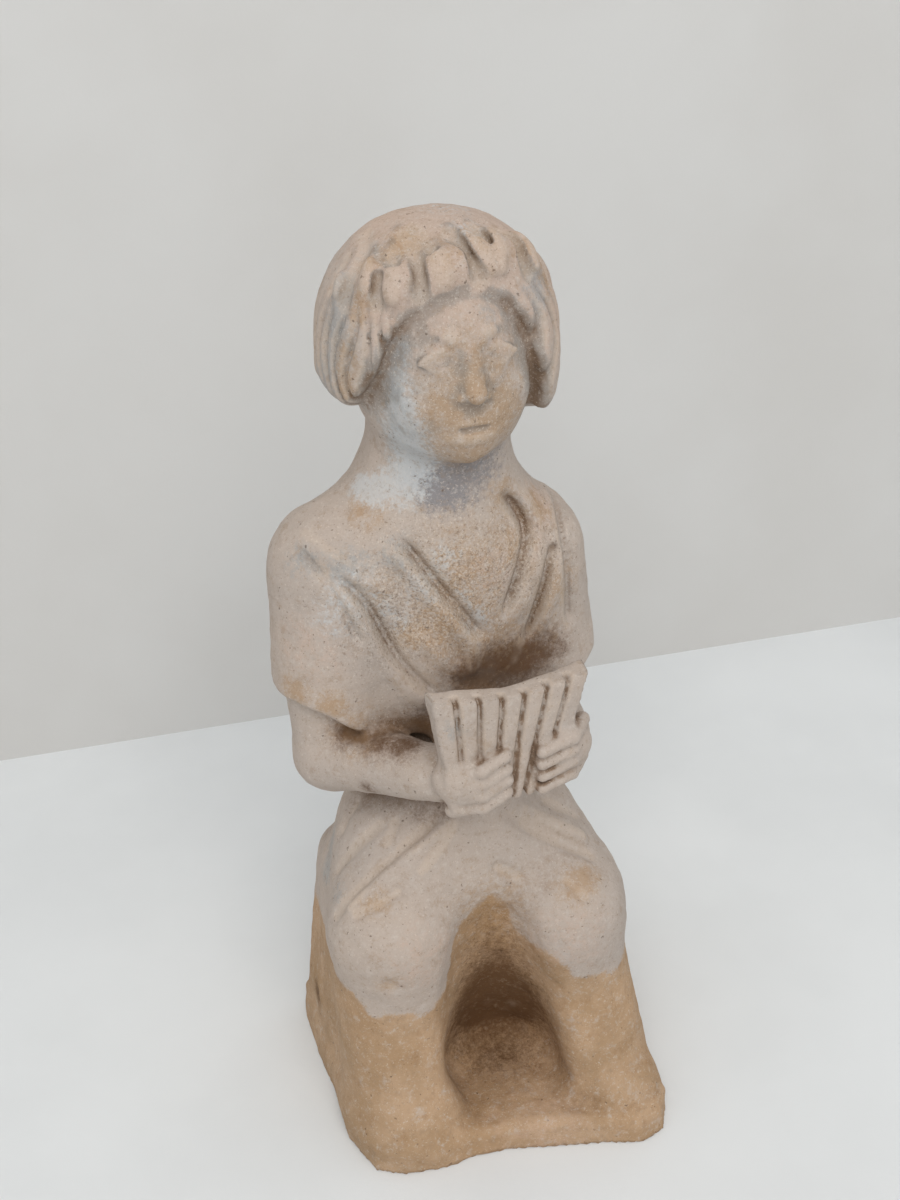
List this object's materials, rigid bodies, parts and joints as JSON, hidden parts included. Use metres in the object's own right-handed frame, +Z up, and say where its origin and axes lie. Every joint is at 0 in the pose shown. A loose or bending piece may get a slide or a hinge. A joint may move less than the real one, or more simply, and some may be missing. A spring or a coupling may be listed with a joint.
{
  "type": "musician figurine",
  "caption": "Moulded clay figurine of a robed musician seated on a block and playing a pan flute, on a thin plinth, for display on a shelf.",
  "frame": {"origin": "middle of the bounding box of the plinth and figure, on the surface it stands on", "axes": "+Z up, the figure faces -Y, +X towards the viewer's right"},
  "size_m": [0.059, 0.06, 0.1584],
  "materials": {
    "fired_clay": "unglazed fired clay, rough, with pale slip and brown soil left in the hollows"
  },
  "bodies": {
    "root": {"figurine": "fired_clay"}
  },
  "joints": []
}
